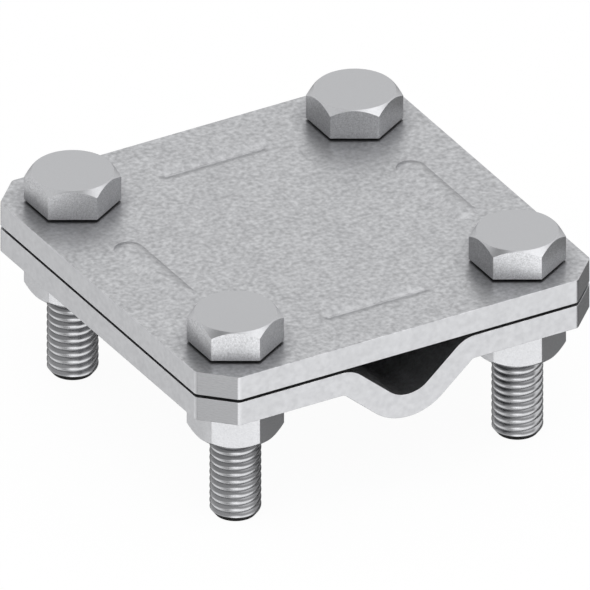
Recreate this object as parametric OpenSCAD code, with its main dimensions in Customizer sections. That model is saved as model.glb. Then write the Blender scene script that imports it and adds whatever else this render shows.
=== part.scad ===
// Cross connector clamp: two square steel plates held together by four hexagon bolts.
// The upper plate is flat, with two raised and two sunk pressed beads.
// The lower plate has one pressed groove along Y, for a round conductor or an earth rod.
// A flat strip can lie between the plates, across the groove.
// Origin: middle of the clamp, in the plane of the four bolt tips. +Z points to the bolt heads,
// Y runs along the groove. Front is -Y, left is -X.

/* [Plates] */
// Side of both square plates
plate_side = 70; // [64:1:90]
// Thickness of the sheet that both plates are pressed from
plate_t = 4; // [3:0.25:4.5]
// Leg of the cut at each plate corner
corner_cut = 5; // [2:0.5:8]
// Gap between the two plates, as the clamp is delivered
plate_gap = 0.5; // [0.5:0.25:4]
// Distance of each bolt axis from the two nearest plate edges
bolt_edge = 10; // [9:0.5:12]
// How much wider than its bolt each plate hole is
hole_clearance = 1; // [0.5:0.1:1.5]

/* [Groove in the lower plate] */
// Depth of the groove, on its inner side
groove_depth = 7; // [6:0.25:8]
// Angle of the groove's flanks against the plate
groove_angle = 41; // [38:1:46]
// Inner radius at the bottom of the groove
groove_r = 5; // [4:0.5:6]
// Radius of each shoulder, on the upper side of the sheet
shoulder_r = 5; // [5:0.5:6]

/* [Pressed beads in the upper plate] */
// Distance of each bead's middle line from the nearest plate edge
bead_edge = 10; // [7:0.5:13]
// Half of a bead's width, at its rounded end too
bead_half_w = 2.35; // [1.8:0.05:3]
// How far a bead stands out of one side and sinks into the other
bead_h = 0.5; // [0.2:0.05:0.8]
// Half of the narrow flat along the crest or the bottom of a bead
bead_flat = 0.25; // [0.1:0.05:0.6]
// Distance between the two round ends of a raised bead, from centre to centre
raised_span = 15.4; // [10:0.2:17]
// Distance between the two round ends of a sunk bead, from centre to centre
sunk_span = 16.8; // [10:0.2:17]

/* [Bolts] */
// Thread diameter of the bolts
bolt_d = 8; // [6:0.5:8]
// Length of the bolts below the head
bolt_length = 30; // [26:1:60]
// Width of the heads across their flats
head_af = 13; // [12:0.5:14]
// Height of the heads, with the washer face
head_h = 5.3; // [4:0.1:7]
// Height of the thin round washer face under each head
washer_face_h = 0.3; // [0.2:0.05:0.6]
// Diameter of the washer face
washer_face_d = 11.6; // [11:0.1:11.9]
// Diameter of the flat circle on top of a head
head_flat_d = 12.7; // [10:0.1:12.9]
// Angle of the chamfer on a head, against its top
head_chamfer_angle = 45; // [20:1:50]
// Length of the chamfer at the tip
tip_chamfer = 0.75; // [0.4:0.05:1.2]
// Diameter of the flat end of the tip
tip_d = 6.5; // [5:0.1:6.8]

/* [Nuts] */
// Width of the nuts across their flats
nut_af = 13; // [12:0.5:14]
// Height of the nuts
nut_h = 6.8; // [5:0.1:8]
// Diameter of the flat circle on each side of a nut
nut_flat_d = 12.7; // [11.6:0.1:12.9]
// Angle of the chamfer on a nut, against its flat sides
nut_chamfer_angle = 40; // [20:1:50]
// Gap around the bolt in the nut's bore, which stands for the thread
thread_clearance = 0.05; // [0.03:0.01:0.1]
// How much wider the mouth of the bore is than the bore
bore_mouth_extra = 0.7; // [0.4:0.1:1]
// Depth of the conical mouth on each side of the bore
bore_mouth_h = 0.3; // [0.2:0.05:0.5]

/* [Hidden] */
$fn = 64;

// Heights of the pieces, from the plane of the bolt tips
upper_top = bolt_length;
upper_bottom = upper_top - plate_t;
lower_top = upper_bottom - plate_gap;
lower_bottom = lower_top - plate_t;
nut_bottom = lower_bottom - nut_h;

// Derived widths
hole_d = bolt_d + hole_clearance;
nut_bore_d = bolt_d + 2 * thread_clearance;

// Distances of the bolts and of the beads from the middle of the plates
bolt_place = plate_side / 2 - bolt_edge;
bead_place = plate_side / 2 - bead_edge;

// Overlap of a cutter past the face that it opens
cut = 1;

// Steps in each rounded stretch of an outline
arc_steps = 10;
bead_steps = 6;

// Directions in which a bead lies, as turns about the vertical
ALONG_X = 0;
ALONG_Y = 90;

// Bolt places, as signs of X and Y
FRONT_LEFT = [-1, -1];
FRONT_RIGHT = [1, -1];
BACK_LEFT = [-1, 1];
BACK_RIGHT = [1, 1];

// Points of an arc around c, with radius r, from angle a to angle b
function arc(c, r, a, b, steps) =
    [for (i = [0 : steps]) let (t = a + (b - a) * i / steps) c + r * [cos(t), sin(t)]];

// List of points in the opposite order
function backwards(points) = [for (i = [len(points) - 1 : -1 : 0]) points[i]];

// The same points on the other side of X = 0, in the opposite order
function mirrored(points) = backwards([for (p = points) [-p[0], p[1]]]);

// Straight length of each groove flank, and the distance from the groove's middle to its shoulder
flank = (groove_depth - (groove_r + shoulder_r) * (1 - cos(groove_angle))) / sin(groove_angle);
groove_half_w = (groove_r + shoulder_r) * sin(groove_angle) + flank * cos(groove_angle);

// Right half of one side of the bent sheet, from the groove's middle to the plate's edge.
// depth_in is how deep that side lies below the upper one.
function sheet_side(depth_in) = concat(
    arc([0, lower_top - groove_depth + groove_r], groove_r + depth_in, -90, groove_angle - 90, arc_steps),
    arc([groove_half_w, lower_top - shoulder_r], shoulder_r - depth_in, groove_angle + 90, 90, arc_steps),
    [[plate_side / 2, lower_top - depth_in]]
);

// Outline of a plate seen from above
module plate_outline() {
    half = plate_side / 2;
    inner = half - corner_cut;
    polygon([
        [half, -inner], [half, inner], [inner, half], [-inner, half],
        [-half, inner], [-half, -inner], [-inner, -half], [inner, -half]
    ]);
}

// The four bolt holes, from height z0 to height z1
module bolt_holes(z0, z1) {
    for (x = [-1, 1], y = [-1, 1])
        translate([x * bolt_place, y * bolt_place, z0 - cut])
            cylinder(d = hole_d, h = z1 - z0 + 2 * cut);
}

// Radius of the rounded flank that leads from a bead's flat to its edge
bead_run = bead_half_w - bead_flat;
bead_r = (bead_run * bead_run + bead_h * bead_h) / (2 * bead_h);
bead_sweep = asin(bead_run / bead_r);

// Half section of a bead's raised side, seen along the bead, with its root below the sheet's face
crest_section = concat(
    [[0, -cut], [0, bead_h]],
    arc([bead_flat, bead_h - bead_r], bead_r, 90, 90 - bead_sweep, bead_steps),
    [[bead_half_w, -cut]]
);

// Half section of the cutter for a bead's sunk side, with its upper end above the sheet's face
valley_section = concat(
    [[0, cut], [0, -bead_h]],
    arc([bead_half_w, -bead_r], bead_r, 90 + bead_sweep, 90, bead_steps),
    [[bead_half_w, cut]]
);

// A bead along X with round ends, made from its half section
module bead(section, span) {
    for (end = [-1, 1])
        translate([end * span / 2, 0, 0])
            rotate_extrude()
                polygon(section);
    rotate([90, 0, 90])
        translate([0, 0, -span / 2])
            linear_extrude(height = span)
                polygon(concat(section, mirrored(section)));
}

// The same bead on each side of the middle, at height z
module bead_pair(section, span, turn, z, up) {
    for (side = [-1, 1])
        rotate(turn)
            translate([0, side * bead_place, z])
                mirror([0, 0, up ? 0 : 1])
                    bead(section, span);
}

module upper_plate() {
    color([0.73, 0.73, 0.74])
        difference() {
            union() {
                translate([0, 0, upper_bottom])
                    linear_extrude(height = plate_t)
                        plate_outline();
                bead_pair(crest_section, raised_span, ALONG_Y, upper_top, true);
                bead_pair(crest_section, sunk_span, ALONG_X, upper_bottom, false);
            }
            bead_pair(valley_section, sunk_span, ALONG_X, upper_top, true);
            bead_pair(valley_section, raised_span, ALONG_Y, upper_bottom, false);
            bolt_holes(upper_bottom, upper_top);
        }
}

module lower_plate() {
    upper_side = sheet_side(0);
    under_side = sheet_side(plate_t);
    color([0.71, 0.71, 0.72])
        difference() {
            intersection() {
                translate([0, 0, lower_bottom - groove_depth - cut])
                    linear_extrude(height = lower_top - lower_bottom + groove_depth + 2 * cut)
                        plate_outline();
                rotate([90, 0, 0])
                    linear_extrude(height = plate_side + 2 * cut, center = true)
                        polygon(concat(
                            mirrored(upper_side), upper_side,
                            backwards(under_side), backwards(mirrored(under_side))
                        ));
            }
            bolt_holes(lower_bottom, lower_top);
        }
}

// Hexagonal prism on z = 0 with two of its flats facing along X
module hex_prism(across_flats, h) {
    rotate(30)
        cylinder(d = across_flats / cos(30), h = h, $fn = 6);
}

// Solid of revolution that trims a hexagon of height h to a round flat at its top,
// and at its bottom too where both_ends is true
module hex_trim(across_flats, flat_d, chamfer_angle, h, both_ends) {
    corner_r = across_flats / (2 * cos(30)) + cut;
    drop = (corner_r - flat_d / 2) * tan(chamfer_angle);
    rotate_extrude()
        polygon([
            [0, 0],
            [both_ends ? flat_d / 2 : corner_r, 0],
            [corner_r, both_ends ? drop : 0],
            [corner_r, h - drop],
            [flat_d / 2, h],
            [0, h]
        ]);
}

// One bolt, hanging with its washer face on the upper plate
module bolt(place) {
    color([0.76, 0.76, 0.77])
        translate([place[0] * bolt_place, place[1] * bolt_place, 0])
            union() {
                rotate_extrude()
                    polygon([
                        [0, 0],
                        [tip_d / 2, 0],
                        [bolt_d / 2, tip_chamfer],
                        [bolt_d / 2, upper_top],
                        [washer_face_d / 2, upper_top],
                        [washer_face_d / 2, upper_top + washer_face_h],
                        [0, upper_top + washer_face_h]
                    ]);
                translate([0, 0, upper_top + washer_face_h])
                    intersection() {
                        hex_prism(head_af, head_h - washer_face_h);
                        hex_trim(head_af, head_flat_d, head_chamfer_angle, head_h - washer_face_h, false);
                    }
            }
}

// One nut, tight under the lower plate
module nut(place) {
    mouth_r = nut_bore_d / 2 + bore_mouth_extra / 2;
    color([0.74, 0.74, 0.75])
        translate([place[0] * bolt_place, place[1] * bolt_place, nut_bottom])
            difference() {
                intersection() {
                    hex_prism(nut_af, nut_h);
                    hex_trim(nut_af, nut_flat_d, nut_chamfer_angle, nut_h, true);
                }
                rotate_extrude()
                    polygon([
                        [0, -cut],
                        [mouth_r, -cut],
                        [mouth_r, 0],
                        [nut_bore_d / 2, bore_mouth_h],
                        [nut_bore_d / 2, nut_h - bore_mouth_h],
                        [mouth_r, nut_h],
                        [mouth_r, nut_h + cut],
                        [0, nut_h + cut]
                    ]);
            }
}

upper_plate();
lower_plate();
bolt(FRONT_LEFT);  // bolt_front_left
bolt(FRONT_RIGHT);  // bolt_front_right
bolt(BACK_LEFT);  // bolt_back_left
bolt(BACK_RIGHT);  // bolt_back_right
nut(FRONT_LEFT);  // nut_front_left
nut(FRONT_RIGHT);  // nut_front_right
nut(BACK_LEFT);  // nut_back_left
nut(BACK_RIGHT);  // nut_back_right
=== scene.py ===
"""Finish model of the cross connector clamp: two galvanised plates with their bolts and nuts.

Lengths are in millimetres while a mesh is being shaped, and in metres once it is an object.
"""

import enum
import functools
import logging
import math
from collections.abc import Iterable, Mapping, Sequence
from dataclasses import dataclass

import bmesh
import bpy
from bmesh.types import BMEdge, BMesh, BMVert
from bpy.types import Material, Node, NodeSocket, Object, ShaderNodeTree
from mathutils import Matrix, Vector


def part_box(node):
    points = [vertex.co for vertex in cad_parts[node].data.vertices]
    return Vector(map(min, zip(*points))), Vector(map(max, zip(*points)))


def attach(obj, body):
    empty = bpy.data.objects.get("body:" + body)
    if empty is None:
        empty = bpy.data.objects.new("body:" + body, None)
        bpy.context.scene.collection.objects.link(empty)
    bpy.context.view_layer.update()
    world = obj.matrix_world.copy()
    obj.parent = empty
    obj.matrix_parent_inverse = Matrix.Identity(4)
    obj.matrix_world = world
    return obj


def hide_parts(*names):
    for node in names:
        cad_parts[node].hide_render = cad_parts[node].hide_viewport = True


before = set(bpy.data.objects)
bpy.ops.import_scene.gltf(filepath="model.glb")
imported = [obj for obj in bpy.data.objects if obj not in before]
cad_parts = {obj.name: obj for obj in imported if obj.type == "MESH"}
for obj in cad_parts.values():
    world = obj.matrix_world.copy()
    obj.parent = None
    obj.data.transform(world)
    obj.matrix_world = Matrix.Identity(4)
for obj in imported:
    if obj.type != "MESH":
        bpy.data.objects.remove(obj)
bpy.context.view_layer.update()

LOG = logging.getLogger("clamp")
MM = 0.001
# In millimetres: how close vertices are merged, and how far tools reach past what they meet.
WELD = 0.001
OVERLAP = 1.0
# Part along Z of the direction of an edge that counts as upright.
UPRIGHT = 0.999
UP = Vector((0, 0, 1))
Colour = tuple[float, float, float, float]
Inputs = Mapping[str | int, object]
Profile = Sequence[tuple[float, float]]


class Corner(enum.Enum):
    """Corner of the clamp, as the signs of X and Y."""

    FRONT_LEFT = (-1, -1)
    FRONT_RIGHT = (1, -1)
    BACK_LEFT = (-1, 1)
    BACK_RIGHT = (1, 1)

    @property
    def label(self) -> str:
        """Name of the corner, as the nodes of the frame have it."""
        return self.name.lower()


class Slot(enum.Enum):
    """Name of a material slot of the record, for the plates or for the fasteners."""

    PLATE = "galvanised_plate"
    FASTENER = "zinc_fastener"


class Join(enum.Enum):
    """How a tool solid changes the solid that it meets."""

    ADD = "UNION"
    CUT = "DIFFERENCE"
    KEEP_COMMON = "INTERSECT"


class Mixed(enum.Enum):
    """What a Mix node mixes, with the numbers of its first such input and its output."""

    VALUES = ("FLOAT", 2, 0)
    COLOURS = ("RGBA", 6, 2)


def node_box(node: str) -> tuple[Vector, Vector]:
    """Read the lowest and the highest corner of a node of the frame, in millimetres."""
    low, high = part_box(node)
    return low / MM, high / MM


def linked(name: str, data: bpy.types.ID) -> Object:
    """Put a new object into the scene.

    Args:
        name: Name of the object.
        data: Its mesh, light or camera.

    Returns:
        The object.
    """
    item = bpy.data.objects.new(name, data)
    bpy.context.scene.collection.objects.link(item)
    return item


def mesh_object(bm: BMesh, name: str, material: Material | None = None) -> Object:
    """Turn a finished bmesh into an object of the scene, in the units that it has.

    Args:
        bm: The shape. It is freed here.
        name: Name of the object and its mesh.
        material: Its material, where it has one already.

    Returns:
        The new object.
    """
    mesh = bpy.data.meshes.new(name)
    bm.to_mesh(mesh)
    bm.free()
    if material:
        mesh.materials.append(material)
    return linked(name, mesh)


def combine(base: Object, tools: Iterable[Object], how: Join) -> None:
    """Join tool solids to a base solid, one after another, and remove the tools.

    Args:
        base: The solid that is changed.
        tools: Closed solids that meet it.
        how: What each tool does to the base.
    """
    for tool in tools:
        modifier = base.modifiers.new(how.name.lower(), "BOOLEAN")
        modifier.operation = how.value
        modifier.solver = "EXACT"
        modifier.object = tool
        graph = bpy.context.evaluated_depsgraph_get()
        shaped = bpy.data.meshes.new_from_object(base.evaluated_get(graph))
        base.modifiers.remove(modifier)
        old = base.data
        base.data = shaped
        shaped.name = old.name
        bpy.data.meshes.remove(old)
        bpy.data.meshes.remove(tool.data)


def revolved(profile: Profile, steps: int, name: str, turn: float = 0.0) -> Object:
    """Spin a profile round the vertical axis to a closed solid with flat ends.

    Args:
        profile: Points of the outline as radius and height, none of them on the axis.
        steps: Number of faces round the axis.
        name: Name of the object.
        turn: Angle at which the first column of points lies, in radians.

    Returns:
        The solid.
    """
    bm = bmesh.new()
    points = [bm.verts.new((radius, 0, height)) for radius, height in profile]
    lines = [bm.edges.new(pair) for pair in zip(points, points[1:])]
    spin_round(bm, [*points, *lines], steps)
    bmesh.ops.rotate(bm, verts=bm.verts, matrix=Matrix.Rotation(turn, 3, "Z"))
    return mesh_object(bm, name)


def spin_round(bm: BMesh, outline: list, steps: int) -> None:
    """Spin an outline a full turn round the vertical axis and close its two ends.

    Args:
        bm: The mesh that holds the outline.
        outline: Vertices and edges of the outline.
        steps: Number of faces round the axis.
    """
    bmesh.ops.spin(
        bm, geom=outline, cent=(0, 0, 0), axis=UP, angle=math.tau, steps=steps, use_merge=True
    )
    bmesh.ops.remove_doubles(bm, verts=bm.verts, dist=WELD)
    bmesh.ops.holes_fill(bm, edges=[edge for edge in bm.edges if edge.is_boundary])
    bmesh.ops.recalc_face_normals(bm, faces=bm.faces)


def extruded_edges(bm: BMesh, edges: list, shift: Vector) -> list:
    """Extrude edges into faces and shift the new edges.

    Args:
        bm: The mesh that holds the edges.
        edges: The edges to extrude.
        shift: Way that the new edges move.

    Returns:
        The new edges.
    """
    grown = bmesh.ops.extrude_edge_only(bm, edges=edges)["geom"]
    moved = [item for item in grown if isinstance(item, BMVert)]
    bmesh.ops.translate(bm, verts=moved, vec=shift)
    lines = [item for item in grown if isinstance(item, BMEdge)]
    return [line for line in lines if all(vert in moved for vert in line.verts)]


def spun_edges(bm: BMesh, edges: list, centre: Vector, angle: float, steps: int) -> list:
    """Spin edges round an axis along Y.

    Args:
        bm: The mesh that holds the edges.
        edges: The edges to spin.
        centre: Point on the axis.
        angle: Angle of the sweep, in radians. A positive one leads from -Z to +X.
        steps: Number of faces along the sweep.

    Returns:
        The edges at the end of the sweep.
    """
    geom = [*edges, *{vert for edge in edges for vert in edge.verts}]
    last = bmesh.ops.spin(bm, geom=geom, cent=centre, axis=(0, -1, 0), angle=angle, steps=steps)
    return [item for item in last["geom_last"] if isinstance(item, BMEdge)]


def thickened(bm: BMesh, shift: Sequence[float]) -> None:
    """Extrude all faces of a sheet to a solid.

    Args:
        bm: The sheet.
        shift: Way from the sheet to the faces that close the solid.
    """
    grown = bmesh.ops.extrude_face_region(bm, geom=list(bm.faces))["geom"]
    moved = [item for item in grown if isinstance(item, BMVert)]
    bmesh.ops.translate(bm, verts=moved, vec=shift)


def cut_off(bm: BMesh, point: Sequence[float], way: Sequence[float]) -> None:
    """Cut a shape at a plane, remove what lies beyond it and close the cut.

    Args:
        bm: The shape.
        point: Point of the plane.
        way: Direction from the plane to what is removed.
    """
    geom = [*bm.verts, *bm.edges, *bm.faces]
    cut = bmesh.ops.bisect_plane(
        bm, geom=geom, plane_co=point, plane_no=way, clear_outer=True
    )["geom_cut"]
    bmesh.ops.holes_fill(bm, edges=[item for item in cut if isinstance(item, BMEdge)])


def is_upright(edge: BMEdge) -> bool:
    """Tell whether an edge runs straight up."""
    line = (edge.verts[1].co - edge.verts[0].co).normalized()
    return abs(line.z) > UPRIGHT


def rounded_edges(bm: BMesh, edges: list, radius: float, segments: int) -> None:
    """Round edges of a solid.

    Args:
        bm: The solid.
        edges: The edges to round.
        radius: How far the rounding reaches on each face.
        segments: Number of strips across the rounding.
    """
    bmesh.ops.bevel(
        bm, geom=edges, offset=radius, offset_type="OFFSET", segments=segments, profile=0.5,
        affect="EDGES", clamp_overlap=True, material=-1,
    )


def finished(item: Object, material: Material, crease: float, weighted: bool = False) -> None:
    """Bring an object to metres, smooth it but for its creases, and dress it.

    Args:
        item: The object, still in millimetres.
        material: Its material.
        crease: Angle between two faces above which their edge stays sharp, in radians.
        weighted: Whether large faces set the normals of the roundings next to them.
    """
    mesh = item.data
    bm = bmesh.new()
    bm.from_mesh(mesh)
    bmesh.ops.remove_doubles(bm, verts=bm.verts, dist=WELD)
    bmesh.ops.dissolve_degenerate(bm, edges=bm.edges, dist=WELD)
    bmesh.ops.recalc_face_normals(bm, faces=bm.faces)
    bmesh.ops.scale(bm, vec=(MM, MM, MM), verts=bm.verts)
    bm.to_mesh(mesh)
    bm.free()
    mesh.polygons.foreach_set("use_smooth", [True] * len(mesh.polygons))
    mesh.set_sharp_from_angle(angle=crease)
    mesh.materials.clear()
    mesh.materials.append(material)
    if weighted:
        normals = item.modifiers.new("face_weighted_normals", "WEIGHTED_NORMAL")
        normals.weight = 100
        normals.keep_sharp = True


def add_piece(item: Object, node: str) -> None:
    """Hand a finished piece to the frame.

    Args:
        item: The piece, in place.
        node: Node of the frame that it stands for.
    """
    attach(item, "root")
    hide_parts(node)
    LOG.info("%s stands for %s with %d faces", item.name, node, len(item.data.polygons))


@dataclass(frozen=True)
class NodeTree:
    """Short ways to add and join the nodes of a shader tree."""

    tree: bpy.types.NodeTree

    def add(self, kind: str, inputs: Inputs | None = None, **values: object) -> Node:
        """Add a node.

        Args:
            kind: Type name of the node.
            inputs: What its inputs take, by name or number: a socket to join, or a value.
            **values: Properties of the node that differ from their defaults.

        Returns:
            The node.
        """
        node = self.tree.nodes.new(kind)
        for name, value in values.items():
            setattr(node, name, value)
        for key, value in (inputs or {}).items():
            if isinstance(value, NodeSocket):
                self.tree.links.new(value, node.inputs[key])
            else:
                node.inputs[key].default_value = value
        return node

    def ramp(
        self, source: NodeSocket, low: float, high: float, start: float, end: float,
        smooth: bool = False,
    ) -> NodeSocket:
        """Map a range of values to another one, with its ends held.

        Args:
            source: The value.
            low: Value that becomes start.
            high: Value that becomes end.
            start: First end of the new range.
            end: Second end of the new range.
            smooth: Whether the two ends are eased.

        Returns:
            The mapped value.
        """
        ease = "SMOOTHSTEP" if smooth else "LINEAR"
        ends = {"From Min": low, "From Max": high, "To Min": start, "To Max": end}
        node = self.add(
            "ShaderNodeMapRange", {"Value": source, **ends}, clamp=True, interpolation_type=ease
        )
        return node.outputs["Result"]

    def math(
        self, operation: str, first: NodeSocket, second: NodeSocket | float = 0.0
    ) -> NodeSocket:
        """Work out a value by a Math node, from one value or from two."""
        node = self.add("ShaderNodeMath", {0: first, 1: second}, operation=operation)
        return node.outputs[0]

    def product(self, *factors: NodeSocket | float) -> NodeSocket:
        """Multiply values, of which the first is a socket."""
        return functools.reduce(lambda value, other: self.math("MULTIPLY", value, other), factors)

    def vector(
        self, operation: str, first: NodeSocket, second: Sequence[float] = (0, 0, 0)
    ) -> NodeSocket:
        """Work out a vector by a Vector Math node, or a number as its length or dot product."""
        node = self.add("ShaderNodeVectorMath", {0: first, 1: second}, operation=operation)
        return node.outputs["Value" if operation in ("LENGTH", "DOT_PRODUCT") else "Vector"]

    def noise(self, place: NodeSocket, size: NodeSocket, detail: float = 1.0) -> NodeSocket:
        """Add a noise from 0 to 1, with its scale and its number of finer layers."""
        inputs = {"Vector": place, "Scale": size, "Detail": detail}
        return self.add("ShaderNodeTexNoise", inputs).outputs["Fac"]

    def finish(self, shader: Node) -> None:
        """Join a shader to the output of a material."""
        self.add("ShaderNodeOutputMaterial", {"Surface": shader.outputs[0]})

    def mixed(
        self, share: NodeSocket | float, first: NodeSocket | Colour, second: NodeSocket | Colour,
        what: Mixed = Mixed.COLOURS, blend: str = "MIX",
    ) -> NodeSocket:
        """Mix two colours or two values.

        Args:
            share: Share of the second one.
            first: What stands at share 0.
            second: What stands at share 1.
            what: Whether they are colours or values.
            blend: Name of the Mix node's blend type.

        Returns:
            The mix.
        """
        kind, start, result = what.value
        inputs = {"Factor": share, start: first, start + 1: second}
        node = self.add("ShaderNodeMix", inputs, data_type=kind, blend_type=blend)
        return node.outputs[result]


def new_material(name: str) -> tuple[Material, NodeTree]:
    """Start a material with an empty node tree.

    Args:
        name: Name of the material.

    Returns:
        The material and its tree.
    """
    material = bpy.data.materials.new(name)
    material.use_nodes = True
    material.node_tree.nodes.clear()
    return material, NodeTree(material.node_tree)


def grey(level: float) -> Colour:
    """Make an opaque grey."""
    return (level, level, level, 1)


@dataclass(frozen=True)
class ZincMottle:
    """Node group for the fine mottle of a zinc coat, and the rolling lines of a cut corner."""

    fine_detail: float = 2.0
    patch_share: float = 0.24
    patch_ratio: float = 0.45
    cloud_share: float = 0.04
    cloud_ratio: float = 0.12
    line_stretch: float = 5.0
    low: float = 0.34
    high: float = 0.66

    def build(self) -> ShaderNodeTree:
        """Make the group.

        Returns:
            The group. Its inputs are the coordinates, the scale of the specks, the share of
            lines and how far the tone swings. Its outputs are the mottle from 0 to 1, and the
            tone, which swings round the middle.
        """
        tree = bpy.data.node_groups.new("zinc_mottle", "ShaderNodeTree")
        tree.interface.new_socket(name="Vector", in_out="INPUT", socket_type="NodeSocketVector")
        for label in ("Specks", "Lines", "Swing"):
            tree.interface.new_socket(name=label, in_out="INPUT", socket_type="NodeSocketFloat")
        for label in ("Mottle", "Tone"):
            tree.interface.new_socket(name=label, in_out="OUTPUT", socket_type="NodeSocketFloat")
        nodes = NodeTree(tree)
        start = nodes.add("NodeGroupInput").outputs
        place, size = start["Vector"], start["Specks"]
        specks = nodes.noise(place, size, self.fine_detail)
        patches = nodes.noise(place, nodes.product(size, self.patch_ratio))
        clouds = nodes.noise(place, nodes.product(size, self.cloud_ratio))
        stretched = nodes.vector("MULTIPLY", place, (1, 1, self.line_stretch))
        lines = nodes.noise(stretched, size, self.fine_detail)
        grain = nodes.mixed(self.patch_share, specks, patches, Mixed.VALUES)
        grain = nodes.mixed(self.cloud_share, grain, clouds, Mixed.VALUES)
        grain = nodes.mixed(start["Lines"], grain, lines, Mixed.VALUES)
        mottle = nodes.ramp(grain, self.low, self.high, 0, 1)
        swing = nodes.product(nodes.math("SUBTRACT", mottle, 0.5), start["Swing"])
        tone = nodes.math("ADD", swing, 0.5)
        nodes.add("NodeGroupOutput", {"Mottle": mottle, "Tone": tone})
        return tree


@dataclass(frozen=True)
class BoltDistance:
    """Node group for the distance from the nearest bolt's axis, in metres.

    The axes lie at plus and minus the reach along X and along Y.
    """

    reach: float

    def build(self) -> ShaderNodeTree:
        """Make the group.

        Returns:
            The group, with the coordinates as its input and the distance as its output.
        """
        tree = bpy.data.node_groups.new("bolt_distance", "ShaderNodeTree")
        tree.interface.new_socket(name="Vector", in_out="INPUT", socket_type="NodeSocketVector")
        tree.interface.new_socket(name="Distance", in_out="OUTPUT", socket_type="NodeSocketFloat")
        nodes = NodeTree(tree)
        folded = nodes.vector("ABSOLUTE", nodes.add("NodeGroupInput").outputs["Vector"])
        shifted = nodes.vector("SUBTRACT", folded, (self.reach, self.reach, 0))
        level = nodes.vector("MULTIPLY", shifted, (1, 1, 0))
        nodes.add("NodeGroupOutput", {"Distance": nodes.vector("LENGTH", level)})
        return tree


@dataclass(frozen=True)
class GalvanisedFinish:
    """Hot-dip zinc on the plates: matt light grey with a fine mottle, lined at cut corners.

    A ring of painted shade lies round each head, and the plate right under the head
    is darkened with painted shade.
    """

    mottle: ShaderNodeTree
    distance: ShaderNodeTree
    dark: Colour = (0.40, 0.403, 0.415, 1)
    light: Colour = (0.614, 0.619, 0.634, 1)
    # Painted shade round each head: a factor on the plate's colour, full out to the first radius
    # and gone at the second.
    soiled: Colour = (0.60, 0.60, 0.61, 1)
    soiled_to: float = 0.0062
    head_shade_gone_at: float = 0.0101
    # Painted shade under each head: seat is the near-black colour of the plate between the two
    # radii.
    seat: Colour = (0.10, 0.10, 0.105, 1)
    seat_shade_from: float = 0.0058
    seat_to: float = 0.0062
    side_to: float = 0.15
    face_from: float = 0.5
    side_share: float = 0.16
    slant_from: float = 0.4
    slant_full: float = 0.49
    cut_share: float = 0.5
    line_share: float = 0.9
    specks: float = 1300.0
    rough_low: float = 0.30
    rough_high: float = 0.42
    bump: float = 0.05
    bump_height: float = 0.00004

    def build(self) -> Material:
        """Make the material.

        Returns:
            The material.
        """
        material, nodes = new_material("galvanised_zinc")
        place = nodes.add("ShaderNodeTexCoord").outputs["Object"]
        normal = nodes.add("ShaderNodeNewGeometry").outputs["Normal"]
        facing = nodes.add("ShaderNodeSeparateXYZ", {0: normal}).outputs
        level = nodes.math("ABSOLUTE", facing["Z"])
        share = nodes.ramp(level, self.side_to, self.face_from, self.side_share, 1)
        slant = nodes.math("ABSOLUTE", nodes.product(facing["X"], facing["Y"]))
        cut = nodes.ramp(slant, self.slant_from, self.slant_full, 0, 1)
        share = nodes.math("MAXIMUM", share, nodes.product(cut, self.cut_share))
        lines = nodes.product(cut, self.line_share)
        inputs = {"Vector": place, "Specks": self.specks, "Lines": lines, "Swing": share}
        coat = nodes.add("ShaderNodeGroup", inputs, node_tree=self.mottle).outputs
        zinc = nodes.mixed(coat["Tone"], self.dark, self.light)
        away = nodes.add("ShaderNodeGroup", {"Vector": place}, node_tree=self.distance).outputs[0]
        # Painted shade: the plate darkens in a ring round each head, as in the head's shade.
        head_shade_ring = nodes.ramp(away, self.soiled_to, self.head_shade_gone_at, 1, 0)
        zinc = nodes.mixed(head_shade_ring, zinc, self.soiled, blend="MULTIPLY")
        # Painted shade: the plate under each head takes the near-black seat colour.
        under = nodes.ramp(away, self.seat_shade_from, self.seat_to, 1, 0)
        grain = {"Strength": self.bump, "Distance": self.bump_height, "Height": coat["Mottle"]}
        metal = nodes.add(
            "ShaderNodeBsdfPrincipled",
            {
                "Metallic": 1.0,
                "Base Color": nodes.mixed(under, zinc, self.seat),
                "Roughness": nodes.ramp(coat["Mottle"], 0, 1, self.rough_high, self.rough_low),
                "Normal": nodes.add("ShaderNodeBump", grain).outputs["Normal"],
            },
        )
        nodes.finish(metal)
        return material


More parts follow.
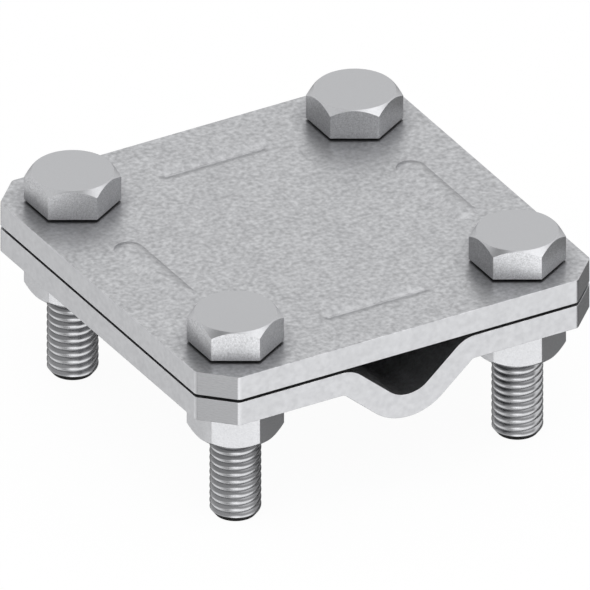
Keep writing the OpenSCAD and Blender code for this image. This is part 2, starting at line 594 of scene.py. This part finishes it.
@dataclass(frozen=True)
class FastenerFinish:
    """Satin zinc on bolts and nuts, with faint specks.

    The upper flanks of the threads carry painted shade, less of it towards the tips, and none
    on the right side of the bolts at the right. The gaps under the heads and the tips of the
    bolts are darkened with painted shade. Threads and nuts show up to thread_top, the underside
    of the upper plate, and the heads sit at head_seat, its top.
    """

    mottle: ShaderNodeTree
    distance: ShaderNodeTree
    thread_top: float
    head_seat: float
    dark: Colour = (0.40, 0.403, 0.415, 1)
    light: Colour = (0.64, 0.645, 0.66, 1)
    side_to: float = 0.3
    top_from: float = 0.8
    top_share: float = 0.04
    nut_share: float = 0.35
    # Painted shade on the upper flanks of the threads: its colour, the upward facing over which it
    # comes in, its share at the tips, and the facing to the right over which it clears.
    dull: Colour = (0.155, 0.156, 0.162, 1)
    dull_from: float = 0.03
    dull_to: float = 0.24
    dull_at_tip: float = 0.75
    shade_clear_from: float = 0.12
    shade_clear_to: float = 0.26
    thread_to: float = 0.00404
    head_from: float = 0.00412
    # Painted shade in the gap under each head: the near-black colour, on a band of the bolt from
    # gap_below under the seat to gap_above over it, with soft edges gap_fade wide.
    gap: Colour = (0.03, 0.03, 0.032, 1)
    gap_below: float = 0.0002
    gap_above: float = 0.0003
    gap_fade: float = 0.00003
    # Painted shade at the bolt tips: tip is the dark colour of the lowest millimetre of each bolt.
    tip: Colour = (0.20, 0.20, 0.205, 1)
    tip_shade_from: float = 0.00085
    tip_to: float = 0.00105
    specks: float = 5600.0
    rough_low: float = 0.40
    rough_high: float = 0.45
    thread_gloss: float = 0.14

    def build(self) -> Material:
        """Make the material.

        Returns:
            The material.
        """
        material, nodes = new_material("satin_zinc")
        place = nodes.add("ShaderNodeTexCoord").outputs["Object"]
        spot = nodes.add("ShaderNodeSeparateXYZ", {0: place}).outputs
        normal = nodes.add("ShaderNodeNewGeometry").outputs["Normal"]
        facing = nodes.add("ShaderNodeSeparateXYZ", {0: normal}).outputs
        level = nodes.math("ABSOLUTE", facing["Z"])
        share = nodes.ramp(level, self.side_to, self.top_from, 1, self.top_share)
        below = nodes.ramp(spot["Z"], self.thread_top, self.thread_top + MM, 1, 0)
        share = nodes.product(share, nodes.ramp(below, 0, 1, 1, self.nut_share))
        inputs = {"Vector": place, "Specks": self.specks, "Swing": share}
        coat = nodes.add("ShaderNodeGroup", inputs, node_tree=self.mottle).outputs
        zinc = nodes.mixed(coat["Tone"], self.dark, self.light)
        away = nodes.add("ShaderNodeGroup", {"Vector": place}, node_tree=self.distance).outputs[0]
        thread = nodes.product(nodes.ramp(away, self.thread_to, self.head_from, 1, 0), below)
        # Painted shade: the upper flanks of the threads darken, less towards the tips, and not
        # where they face right on the bolts at the right.
        upper = nodes.ramp(facing["Z"], self.dull_from, self.dull_to, 0, 1)
        fade = nodes.ramp(spot["Z"], 0, self.thread_top / 2, self.dull_at_tip, 1)
        on_left = nodes.ramp(spot["X"], -MM, MM, 1, 0)
        forward = nodes.ramp(facing["X"], self.shade_clear_from, self.shade_clear_to, 1, 0)
        dull = nodes.product(thread, upper, fade, nodes.math("MAXIMUM", forward, on_left))
        zinc = nodes.mixed(dull, zinc, self.dull)
        # Painted shade: the band of the bolt round the seat's height, in the gap under the head,
        # takes the near-black colour.
        low, high = self.head_seat - self.gap_below, self.head_seat + self.gap_above
        over = nodes.ramp(spot["Z"], low - self.gap_fade, low, 0, 1)
        under = nodes.ramp(spot["Z"], high, high + self.gap_fade, 1, 0)
        zinc = nodes.mixed(nodes.product(over, under), zinc, self.gap)
        # Painted shade: the tips of the bolts darken.
        painted_tip_shade = nodes.ramp(spot["Z"], self.tip_shade_from, self.tip_to, 1, 0)
        rough = nodes.ramp(coat["Mottle"], 0, 1, self.rough_high, self.rough_low)
        gloss = nodes.product(thread, self.thread_gloss)
        metal = nodes.add(
            "ShaderNodeBsdfPrincipled",
            {
                "Metallic": 1.0,
                "Base Color": nodes.mixed(painted_tip_shade, zinc, self.tip),
                "Roughness": nodes.math("SUBTRACT", rough, gloss),
            },
        )
        nodes.finish(metal)
        return material


@dataclass(frozen=True)
class Bead:
    """Pressed bead with round ends, long along X and centred on the origin."""

    span: float
    half_width: float = 2.35
    height: float = 0.5
    flat: float = 0.25
    steps: int = 48
    arc_steps: int = 8

    @property
    def arc_radius(self) -> float:
        """Radius of the rounded flank."""
        run = self.half_width - self.flat
        return (run**2 + self.height**2) / (2 * self.height)

    @property
    def sweep(self) -> float:
        """Angle that the rounded flank turns through."""
        return math.asin((self.half_width - self.flat) / self.arc_radius)

    def solid(self, first: Vector, centre: Vector, end: float, name: str) -> Object:
        """Make the bead from a flank that one point sweeps, and a wall at its outer edge.

        Args:
            first: Point of the flank nearest to the middle line.
            centre: Centre of the flank's arc.
            end: Height to which the wall leads.
            name: Name of the object.

        Returns:
            The closed solid.
        """
        bm = bmesh.new()
        start = bm.verts.new(first)
        bmesh.ops.spin(
            bm, geom=[start], cent=centre, axis=(0, 1, 0), angle=self.sweep, steps=self.arc_steps
        )
        foot = max(bm.verts, key=lambda vert: vert.co.x)
        wall = bm.verts.new((foot.co.x, 0, end))
        bm.edges.new((foot, wall))
        spin_round(bm, [*bm.verts, *bm.edges], self.steps)
        half_step = Matrix.Rotation(math.pi / self.steps, 3, "Z")
        bmesh.ops.rotate(bm, verts=bm.verts, matrix=half_step)
        for vert in bm.verts:
            vert.co.x += math.copysign(self.span / 2, vert.co.x)
        return mesh_object(bm, name)

    def crest(self) -> Object:
        """Make the side that stands out of the sheet, on z = 0."""
        centre = Vector((self.flat, 0, self.height - self.arc_radius))
        first = Vector((self.flat, 0, self.height))
        return self.solid(first, centre, -OVERLAP, "bead_crest")

    def valley(self) -> Object:
        """Make the cutter for the side that sinks below z = 0, rounded over at its rim."""
        centre = Vector((self.half_width, 0, -self.arc_radius))
        first = centre + Vector((self.flat - self.half_width, 0, self.arc_radius - self.height))
        return self.solid(first, centre, OVERLAP, "bead_valley")


@dataclass
class Plates:
    """The two square plates: the flat one with its beads and the grooved one below it."""

    finish: Material
    corner_cut: float = 5.0
    thickness: float = 4.0
    hole_radius: float = 4.5
    drill_reach: float = 10.0
    bolt_edge: float = 10.0
    bead_edge: float = 10.0
    raised_span: float = 15.4
    sunk_span: float = 16.8
    groove_depth: float = 7.0
    groove_angle: float = math.radians(41)
    groove_radius: float = 5.0
    shoulder_radius: float = 5.0
    sharp_from: float = math.radians(30)
    corner_rounding: float = 0.4
    corner_strips: int = 5
    rim_from: float = math.radians(60)
    rim_rounding: float = 0.07
    rim_strips: int = 4
    crease: float = math.radians(22)
    bend_steps: int = 14
    hole_steps: int = 64

    def __post_init__(self) -> None:
        """Read the plates' side and heights from the frame."""
        low, high = node_box("lower_plate")
        self.half = high.x
        self.lower_top = high.z
        self.groove_floor = low.z
        low, high = node_box("upper_plate")
        middle = (low.z + high.z) / 2
        self.upper_top = middle + self.thickness / 2
        self.upper_bottom = middle - self.thickness / 2

    def cut_corners(self, bm: BMesh) -> None:
        """Cut the four corners off a square sheet and close the cuts.

        Args:
            bm: The sheet.
        """
        inner = self.half - self.corner_cut
        for corner in Corner:
            sign_x, sign_y = corner.value
            cut_off(bm, (sign_x * self.half, sign_y * inner, 0), (sign_x, sign_y, 0))

    def round_off(self, bm: BMesh) -> None:
        """Round the upright corners of a sheet more than its rims.

        Args:
            bm: The sheet, with its corners cut.
        """
        bmesh.ops.recalc_face_normals(bm, faces=bm.faces)
        bm.normal_update()
        sharp = [edge for edge in bm.edges if edge.calc_face_angle(0) > self.sharp_from]
        upright = [edge for edge in sharp if is_upright(edge)]
        rounded_edges(bm, upright, self.corner_rounding, self.corner_strips)
        bm.normal_update()
        rims = [edge for edge in bm.edges if edge.calc_face_angle(0) > self.rim_from]
        rounded_edges(bm, rims, self.rim_rounding, self.rim_strips)

    def drill(self, plate: Object) -> None:
        """Cut the four bolt holes, with drills that reach past the plate on both sides.

        Args:
            plate: The plate.
        """
        reach = self.half - self.bolt_edge
        outline = [(self.hole_radius, 0), (self.hole_radius, self.upper_top + self.drill_reach)]
        for corner in Corner:
            drill = revolved(outline, self.hole_steps, "drill", math.pi / self.hole_steps)
            sign_x, sign_y = corner.value
            drill.data.transform(Matrix.Translation((sign_x * reach, sign_y * reach, 0)))
            combine(plate, [drill], Join.CUT)

    def press(self, plate: Object, bead: Bead, turn: float, top: float, sign: int) -> None:
        """Press one pair of beads into the upper plate.

        Args:
            plate: The plate.
            bead: The bead.
            turn: Angle of the beads about the vertical, in radians.
            top: Height of the plate's face that the crests stand on.
            sign: 1 where the crests point up, and -1 where they point down.
        """
        reach = self.half - self.bead_edge
        back = top - sign * self.thickness
        for side in (-1, 1):
            middle = Matrix.Rotation(turn, 4, "Z") @ Matrix.Translation((0, side * reach, 0))
            for solid, height, way, how in (
                (bead.crest(), top, sign, Join.ADD), (bead.valley(), back, -sign, Join.CUT)
            ):
                stand = Matrix.Translation((0, 0, height)) @ middle @ Matrix.Scale(way, 4, UP)
                solid.data.transform(stand)
                if way < 0:
                    solid.data.flip_normals()
                combine(plate, [solid], how)

    def build_upper(self) -> Object:
        """Build the flat plate with its two raised and two sunk beads.

        Returns:
            The plate.
        """
        bm = bmesh.new()
        bmesh.ops.create_grid(bm, x_segments=1, y_segments=1, size=self.half)
        self.cut_corners(bm)
        bmesh.ops.translate(bm, verts=bm.verts, vec=(0, 0, self.upper_bottom))
        thickened(bm, (0, 0, self.thickness))
        self.round_off(bm)
        plate = mesh_object(bm, "plate_upper")
        self.press(plate, Bead(self.raised_span), math.pi / 2, self.upper_top, 1)
        self.press(plate, Bead(self.sunk_span), 0, self.upper_bottom, -1)
        self.drill(plate)
        return plate

    def build_lower(self) -> Object:
        """Build the plate with the groove, as half a section that is mirrored and extruded.

        Returns:
            The plate.
        """
        bm = bmesh.new()
        inner = bm.verts.new((0, -self.half, self.lower_top - self.groove_depth))
        outer = bm.verts.new((0, -self.half, self.groove_floor))
        line = [bm.edges.new((inner, outer))]
        centre = Vector((0, -self.half, inner.co.z + self.groove_radius))
        line = spun_edges(bm, line, centre, self.groove_angle, self.bend_steps)
        line = extruded_edges(bm, line, self.flank_length * self.flank_way)
        shoulder = Vector((self.shoulder_x, -self.half, self.lower_top - self.shoulder_radius))
        line = spun_edges(bm, line, shoulder, -self.groove_angle, self.bend_steps)
        extruded_edges(bm, line, Vector((self.half - self.shoulder_x, 0, 0)))
        geom = [*bm.verts, *bm.edges, *bm.faces]
        bmesh.ops.mirror(bm, geom=geom, axis="X", merge_dist=WELD)
        bmesh.ops.remove_doubles(bm, verts=bm.verts, dist=WELD)
        bmesh.ops.recalc_face_normals(bm, faces=bm.faces)
        bmesh.ops.dissolve_faces(bm, faces=list(bm.faces))
        thickened(bm, (0, 2 * self.half, 0))
        self.cut_corners(bm)
        self.round_off(bm)
        plate = mesh_object(bm, "plate_lower")
        self.drill(plate)
        return plate

    @property
    def flank_way(self) -> Vector:
        """Direction of the right flank of the groove, upwards."""
        return Vector((math.cos(self.groove_angle), 0, math.sin(self.groove_angle)))

    @property
    def flank_length(self) -> float:
        """Straight length of a flank of the groove."""
        both = self.groove_radius + self.shoulder_radius
        rise = self.groove_depth - both * (1 - math.cos(self.groove_angle))
        return rise / math.sin(self.groove_angle)

    @property
    def shoulder_x(self) -> float:
        """Distance from the middle of the groove to the end of its shoulder."""
        both = self.groove_radius + self.shoulder_radius
        return both * math.sin(self.groove_angle) + self.flank_length * math.cos(self.groove_angle)

    def build(self) -> None:
        """Build and dress both plates."""
        for plate, node in (
            (self.build_upper(), "upper_plate"), (self.build_lower(), "lower_plate")
        ):
            finished(plate, self.finish, self.crease, weighted=True)
            add_piece(plate, node)


@dataclass(frozen=True)
class Thread:
    """Right-hand screw thread with rounded crests and narrow grooves, round the Z axis."""

    radius: float = 4.0
    pitch: float = 1.25
    depth: float = 0.28
    crest_height: float = 8.989
    spare_turns: int = 2
    turn_steps: int = 60
    arc_steps: int = 10

    @property
    def crest_radius(self) -> float:
        """Radius of the arc that one crest is rounded to."""
        half = self.pitch / 2
        return (half**2 + self.depth**2) / (2 * self.depth)

    def rod(self, bottom: float, top: float, extra: float, name: str) -> Object:
        """Make a threaded rod with flat ends.

        Args:
            bottom: Height of its lower end.
            top: Height of its upper end.
            extra: How much the rod is thicker than the thread, in radius.
            name: Name of the object.

        Returns:
            The closed solid.
        """
        groove = self.crest_height + self.pitch / 2
        below = math.ceil((groove - bottom) / self.pitch) + self.spare_turns
        first = groove - below * self.pitch
        turns = math.ceil((top - first) / self.pitch) + self.spare_turns
        bm = bmesh.new()
        start = bm.verts.new((self.radius + extra - self.depth, 0, first))
        centre = (self.radius + extra - self.crest_radius, 0, first + self.pitch / 2)
        sweep = 2 * math.asin(self.pitch / 2 / self.crest_radius)
        bmesh.ops.spin(
            bm, geom=[start], cent=centre, axis=(0, -1, 0), angle=sweep, steps=self.arc_steps
        )
        bmesh.ops.spin(
            bm, geom=[*bm.verts, *bm.edges], cent=(0, 0, 0), axis=UP,
            dvec=(0, 0, self.pitch / self.turn_steps),
            angle=math.tau * turns, steps=self.turn_steps * turns,
        )
        bmesh.ops.remove_doubles(bm, verts=bm.verts, dist=WELD)
        cut_off(bm, (0, 0, bottom), -UP)
        cut_off(bm, (0, 0, top), UP)
        bmesh.ops.recalc_face_normals(bm, faces=bm.faces)
        return mesh_object(bm, name)


@dataclass(frozen=True)
class Hexagon:
    """Hexagonal body of a bolt head or a nut, with two of its flats facing along X."""

    across_flats: float = 13.0
    flat_diameter: float = 12.7
    edge_rounding: float = 0.08
    edge_strips: int = 3
    steps: int = 120

    @property
    def corner_radius(self) -> float:
        """Distance from the axis to the hexagon's corners."""
        return self.across_flats / 2 / math.cos(math.pi / 6)

    def body(
        self, bottom: float, top: float, chamfer: float, both_ends: bool, name: str
    ) -> Object:
        """Make the hexagon and turn its end faces down to a round flat.

        Args:
            bottom: Height of its lower face.
            top: Height of its upper face.
            chamfer: Angle of the turned chamfer against the end faces, in radians.
            both_ends: Whether the lower face is turned too.
            name: Name of the object.

        Returns:
            The closed solid.
        """
        bm = bmesh.new()
        bmesh.ops.create_circle(bm, cap_ends=True, radius=self.corner_radius, segments=6)
        bmesh.ops.translate(bm, verts=bm.verts, vec=(0, 0, bottom))
        thickened(bm, (0, 0, top - bottom))
        bmesh.ops.recalc_face_normals(bm, faces=bm.faces)
        upright = [edge for edge in bm.edges if is_upright(edge)]
        rounded_edges(bm, upright, self.edge_rounding, self.edge_strips)
        hexagon = mesh_object(bm, name)
        flat, outer = self.flat_diameter / 2, self.corner_radius + OVERLAP
        drop = (outer - flat) * math.tan(chamfer)
        start = [(flat, bottom), (outer, bottom + drop)] if both_ends else [(outer, bottom)]
        outline = [*start, (outer, top - drop), (flat, top)]
        trim = revolved(outline, self.steps, "trim", math.pi / self.steps)
        combine(hexagon, [trim], Join.KEEP_COMMON)
        return hexagon


@dataclass
class Fasteners:
    """The four hexagon bolts, with heads that sit at the seat's height, and their nuts."""

    finish: Material
    seat: float
    thread: Thread = Thread()
    hexagon: Hexagon = Hexagon()
    head_chamfer: float = math.radians(45)
    nut_chamfer: float = math.radians(40)
    washer_radius: float = 5.8
    washer_height: float = 0.3
    tip_radius: float = 3.25
    tip_chamfer: float = 1.0
    tip_slope: float = 4 / 3
    clearance: float = 0.05
    mouth_extra: float = 0.35
    mouth_depth: float = 0.3
    crease: float = math.radians(24)
    round_steps: int = 120

    def __post_init__(self) -> None:
        """Read the heights of a bolt and a nut from the frame."""
        self.tip, self.head_top = (point.z for point in node_box("bolt_front_left"))
        self.nut_bottom, self.nut_top = (point.z for point in node_box("nut_front_left"))

    def build_bolt(self) -> Object:
        """Build one bolt on the Z axis.

        Returns:
            The bolt.
        """
        under_head = self.seat + self.washer_height
        head = self.hexagon.body(under_head, self.head_top, self.head_chamfer, False, "hex_bolt")
        inside = under_head + OVERLAP
        outline = [(self.washer_radius, self.seat), (self.washer_radius, inside)]
        washer = revolved(outline, self.round_steps, "washer_face")
        shank = self.thread.rod(self.tip, inside, 0, "shank")
        outer = self.thread.radius + OVERLAP
        outline = [
            (self.tip_radius, self.tip),
            (self.thread.radius, self.tip + self.tip_chamfer),
            (outer, self.tip + self.tip_chamfer * (1 + self.tip_slope)),
            (outer, self.head_top),
        ]
        combine(shank, [revolved(outline, self.round_steps, "tip")], Join.KEEP_COMMON)
        combine(head, [washer, shank], Join.ADD)
        return head

    def build_nut(self) -> Object:
        """Build one nut on the Z axis, with its threaded bore.

        Returns:
            The nut.
        """
        nut = self.hexagon.body(self.nut_bottom, self.nut_top, self.nut_chamfer, True, "hex_nut")
        ends = (self.nut_bottom - OVERLAP, self.nut_top + OVERLAP)
        tap = self.thread.rod(*ends, self.clearance, "tap")
        bore = self.thread.radius + self.clearance
        inner = bore - self.thread.depth
        mouth = bore + self.mouth_extra
        reach = mouth + OVERLAP
        depth = self.mouth_depth / self.mouth_extra
        mouths = []
        for face, way in ((self.nut_bottom, 1), (self.nut_top, -1)):
            outline = [
                (reach, face - way * depth * (reach - mouth)),
                (inner, face + way * depth * (mouth - inner)),
            ]
            mouths.append(revolved(outline, self.round_steps, "mouth"))
        combine(nut, [tap, *mouths], Join.CUT)
        return nut

    def place(self, master: Object, family: str) -> None:
        """Copy a fastener to the four corners, each in the place of its node.

        Args:
            master: The fastener on the Z axis, in metres. It is removed here.
            family: First word of the names of its nodes.
        """
        for corner in Corner:
            node = f"{family}_{corner.label}"
            low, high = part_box(node)
            axis = (low + high) / 2
            mesh = master.data.copy()
            mesh.name = f"{master.name}_{corner.label}"
            mesh.transform(Matrix.Translation((axis.x, axis.y, 0)))
            add_piece(linked(mesh.name, mesh), node)
        bpy.data.meshes.remove(master.data)

    def build(self) -> None:
        """Build and dress the bolts and the nuts."""
        for master, family in ((self.build_bolt(), "bolt"), (self.build_nut(), "nut")):
            finished(master, self.finish, self.crease)
            self.place(master, family)


def direction(azimuth: float, elevation: float) -> Vector:
    """Turn an azimuth and an elevation into a direction.

    Args:
        azimuth: Angle about the vertical, from +X, in degrees.
        elevation: Angle above the horizon, in degrees.

    Returns:
        The direction, with length 1.
    """
    around, above = math.radians(azimuth), math.radians(elevation)
    level = math.cos(above)
    return Vector((math.cos(around) * level, math.sin(around) * level, math.sin(above)))


def only_reflected(item: Object) -> None:
    """Let only the metal's reflections see a thing of the studio.

    Args:
        item: The thing.
    """
    item.visible_camera = False
    item.visible_diffuse = False
    item.visible_shadow = False
    item.visible_transmission = False


@dataclass(frozen=True)
class Panel:
    """Soft round panel of the light tent, at the direction of its middle.

    Its angles are in degrees, and full_to and gone_at start from its middle. A deep panel is
    only seen by way of two mirroring faces, as a head shows the plate below it.
    """

    level: float
    azimuth: float
    elevation: float
    full_to: float
    gone_at: float
    deep: bool = False


@dataclass(frozen=True)
class LightTent:
    """Round tent of grey and white panels that only the metal's reflections see.

    Its deep panels show to rays with a depth above deep_from.
    """

    radius: float = 1.5
    plain: float = 0.97
    deep_from: float = 1.5
    panels: tuple[Panel, ...] = (
        Panel(0.46, 124, 30, full_to=26, gone_at=46, deep=True),
        Panel(0.72, 0, 32, full_to=26, gone_at=46, deep=True),
        Panel(0.83, 240, 32, full_to=26, gone_at=46, deep=True),
        Panel(2.05, 300, 52, full_to=18, gone_at=34),
        Panel(1.30, 118, -36, full_to=26, gone_at=46),
        Panel(1.45, 281, -28, full_to=22, gone_at=43),
        Panel(2.65, 238, -8, full_to=10, gone_at=25),
        Panel(0.40, 204, -37, full_to=8, gone_at=22),
        Panel(0.01, 6, -34, full_to=25, gone_at=37),
        Panel(0.22, 57, -44, full_to=44, gone_at=54),
        Panel(0.25, 60, -8, full_to=16, gone_at=28),
        Panel(0.05, 60, -74, full_to=22, gone_at=42),
        Panel(0.90, 105, -40, full_to=24, gone_at=40, deep=True),
    )

    def build(self) -> None:
        """Build the tent round the clamp."""
        bm = bmesh.new()
        bmesh.ops.create_uvsphere(bm, u_segments=32, v_segments=16, radius=self.radius)
        bmesh.ops.reverse_faces(bm, faces=bm.faces)
        tent = mesh_object(bm, "light_tent", self.paint())
        only_reflected(tent)

    def paint(self) -> Material:
        """Paint the panels on the tent, each over the ones before it.

        Returns:
            The material.
        """
        material, nodes = new_material("tent_panels")
        way = nodes.vector("NORMALIZE", nodes.add("ShaderNodeTexCoord").outputs["Object"])
        path = nodes.add("ShaderNodeLightPath").outputs
        twice = nodes.math("GREATER_THAN", path["Ray Depth"], self.deep_from)
        shade: Colour | NodeSocket = grey(self.plain)
        for panel in self.panels:
            near = nodes.vector("DOT_PRODUCT", way, direction(panel.azimuth, panel.elevation))
            gone = math.cos(math.radians(panel.gone_at))
            full = math.cos(math.radians(panel.full_to))
            share = nodes.ramp(near, gone, full, 0, 1, smooth=True)
            if panel.deep:
                share = nodes.product(share, twice)
            shade = nodes.mixed(share, shade, grey(panel.level))
        nodes.finish(nodes.add("ShaderNodeEmission", {"Color": shade}))
        return material


@dataclass(frozen=True)
class OverheadScreen:
    """Grey screen hung close above the front left of the clamp, seen only in reflections."""

    level: float = 0.02
    middle: tuple[float, float, float] = (-0.0485, -0.031, 0.095)
    length: float = 0.093
    width: float = 0.043

    def build(self) -> None:
        """Build the screen."""
        bm = bmesh.new()
        bmesh.ops.create_grid(bm, x_segments=4, y_segments=4, size=0.5)
        bmesh.ops.scale(bm, vec=(self.length, self.width, 1), verts=bm.verts)
        bmesh.ops.translate(bm, vec=self.middle, verts=bm.verts)
        material, nodes = new_material("screen_grey")
        nodes.finish(nodes.add("ShaderNodeEmission", {"Color": grey(self.level)}))
        screen = mesh_object(bm, "overhead_screen", material)
        only_reflected(screen)


@dataclass(frozen=True)
class Studio:
    """White floor and world, soft light, the light tent and the camera."""

    floor_size: float = 6.0
    paper_grey: float = 0.85
    shadow_share: float = 0.05
    ambient: float = 0.95
    lamp_power: float = 3.0
    lamp_size: float = 0.7
    lamp_place: tuple[float, float, float] = (-0.25, -0.35, 0.8)
    photo_scale: float = 6.511
    photo_side: float = 590.0
    top_middle: tuple[float, float] = (294.99, 230.27)
    azimuth: float = 240.0
    elevation: float = 30.0
    camera_distance: float = 0.6
    tent: LightTent = LightTent()
    screen: OverheadScreen = OverheadScreen()

    @staticmethod
    def white_share(nodes: NodeTree, share: float) -> NodeSocket:
        """Make a mask for the camera and for what metal and glass show.

        Args:
            nodes: The tree that takes the mask.
            share: Value of the mask for those rays.

        Returns:
            The mask.
        """
        path = nodes.add("ShaderNodeLightPath").outputs
        seen = nodes.math("MAXIMUM", path["Is Camera Ray"], path["Is Glossy Ray"])
        seen = nodes.math("MAXIMUM", seen, path["Is Transmission Ray"])
        return nodes.product(seen, share)

    def build_floor(self) -> None:
        """Build the white floor under the bolt tips. It keeps a soft shadow."""
        bm = bmesh.new()
        bmesh.ops.create_grid(bm, x_segments=8, y_segments=8, size=self.floor_size / 2)
        material, nodes = new_material("white_floor")
        seen = self.white_share(nodes, 1 - self.shadow_share)
        paper = nodes.add("ShaderNodeBsdfDiffuse", {"Color": grey(self.paper_grey)}).outputs[0]
        white = nodes.add("ShaderNodeEmission").outputs[0]
        both = nodes.add("ShaderNodeMixShader", {"Fac": seen, 1: paper, 2: white}).outputs[0]
        back = nodes.add("ShaderNodeNewGeometry").outputs["Backfacing"]
        clear = nodes.add("ShaderNodeBsdfTransparent").outputs[0]
        nodes.finish(nodes.add("ShaderNodeMixShader", {"Fac": back, 1: both, 2: clear}))
        floor = mesh_object(bm, "floor", material)
        floor.visible_glossy = False

    def build_world(self) -> None:
        """Make the world white where it is seen, and a plain soft light elsewhere."""
        world = bpy.data.worlds.new("white_world")
        world.use_nodes = True
        world.node_tree.nodes.clear()
        nodes = NodeTree(world.node_tree)
        seen = self.white_share(nodes, 1.0)
        light = {"Color": grey(1), "Strength": self.ambient}
        soft = nodes.add("ShaderNodeBackground", light).outputs[0]
        white = nodes.add("ShaderNodeBackground", {"Color": grey(1)}).outputs[0]
        both = nodes.add("ShaderNodeMixShader", {"Fac": seen, 1: soft, 2: white}).outputs[0]
        nodes.add("ShaderNodeOutputWorld", {"Surface": both})
        bpy.context.scene.world = world

    def build_lamp(self) -> None:
        """Hang one large soft lamp above the clamp."""
        light = bpy.data.lights.new("soft_lamp", "AREA")
        light.size = self.lamp_size
        light.energy = self.lamp_power
        lamp = linked("soft_lamp", light)
        place = Vector(self.lamp_place)
        lamp.location = place
        lamp.rotation_euler = place.to_track_quat("Z", "Y").to_euler()
        lamp.visible_glossy = False

    def build_camera(self, top: float) -> None:
        """Set up the camera, which sees without perspective, at the angle of the photograph.

        Args:
            top: Height of the upper plate's face, in metres.
        """
        way = direction(self.azimuth, self.elevation)
        right = UP.cross(way).normalized()
        upwards = way.cross(right)
        metre = self.photo_scale / MM
        across = (self.photo_side / 2 - self.top_middle[0]) / metre
        down = (self.photo_side / 2 - self.top_middle[1]) / metre
        target = Vector((0, 0, top)) + right * across - upwards * down
        lens = bpy.data.cameras.new("camera")
        lens.type = "ORTHO"
        lens.ortho_scale = self.photo_side / metre
        camera = linked("camera", lens)
        camera.location = target + way * self.camera_distance
        camera.rotation_euler = way.to_track_quat("Z", "Y").to_euler()
        bpy.context.scene.camera = camera

    def build(self, top: float) -> None:
        """Set up the whole studio.

        Args:
            top: Height of the upper plate's face, in metres.
        """
        self.build_camera(top)
        self.build_floor()
        self.tent.build()
        self.screen.build()
        self.build_world()
        self.build_lamp()
        bpy.context.scene.view_settings.view_transform = "Standard"
        LOG.info("studio with a tent of %d panels", len(self.tent.panels))


def main() -> None:
    """Build the clamp and its studio."""
    logging.basicConfig(level=logging.INFO, format="%(name)s: %(message)s")
    mottle = ZincMottle().build()
    low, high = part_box("bolt_back_right")
    distance = BoltDistance((low.x + high.x) / 2).build()
    plates = Plates(GalvanisedFinish(mottle, distance).build())
    plates.build()
    satin = FastenerFinish(mottle, distance, plates.upper_bottom * MM, plates.upper_top * MM)
    Fasteners(satin.build(), plates.upper_top).build()
    Studio().build(plates.upper_top * MM)


if __name__ == "__main__":
    main()
